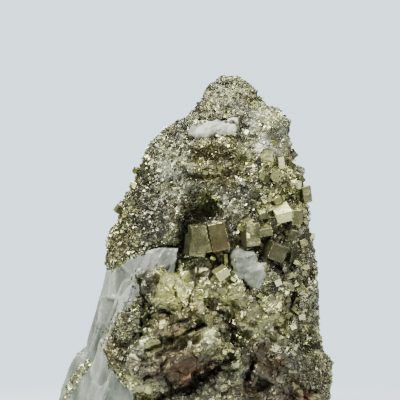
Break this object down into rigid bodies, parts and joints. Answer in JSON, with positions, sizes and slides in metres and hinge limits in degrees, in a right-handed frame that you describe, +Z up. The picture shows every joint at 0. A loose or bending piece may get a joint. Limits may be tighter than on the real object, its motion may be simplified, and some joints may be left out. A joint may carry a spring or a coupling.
{
  "type": "mineral specimen of fluorite with pyrite",
  "caption": "Tapering pyrite rock crusted with fine crystals on a flat cut base, with larger pyrite cubes and a pale cleaved fluorite mass along its left flank.",
  "frame": {"origin": "on the flat cut base, under the middle of the specimen's box", "axes": "+Z up towards the peak, -Y out of the front with the coarse cubes, +X to the right seen from the front"},
  "size_m": [0.098, 0.069, 0.122],
  "materials": {
    "pyrite_rock": "fine glittering crust of brassy and grey pyrite crystals, with tarnished brown broken faces low on the front",
    "pyrite_crystal": "pale brass-yellow metallic cube faces, striated, lightly tarnished olive",
    "fluorite": "milky translucent crystal, pale grey-green, with glassy cleavage faces",
    "white_fluorite": "milky white translucent crystal with a glassy lustre"
  },
  "bodies": {
    "root": {"pyrite_mass": "pyrite_rock", "pyrite_cube_pair": "pyrite_crystal", "pyrite_cube_right": "pyrite_crystal", "pyrite_cube_striated": "pyrite_crystal", "pyrite_cube_shoulder": "pyrite_crystal", "pyrite_cube_edge": "pyrite_crystal", "pyrite_cube_bright": "pyrite_crystal", "fluorite_mass": "fluorite", "fluorite_band": "white_fluorite", "fluorite_step": "white_fluorite"}
  },
  "joints": []
}
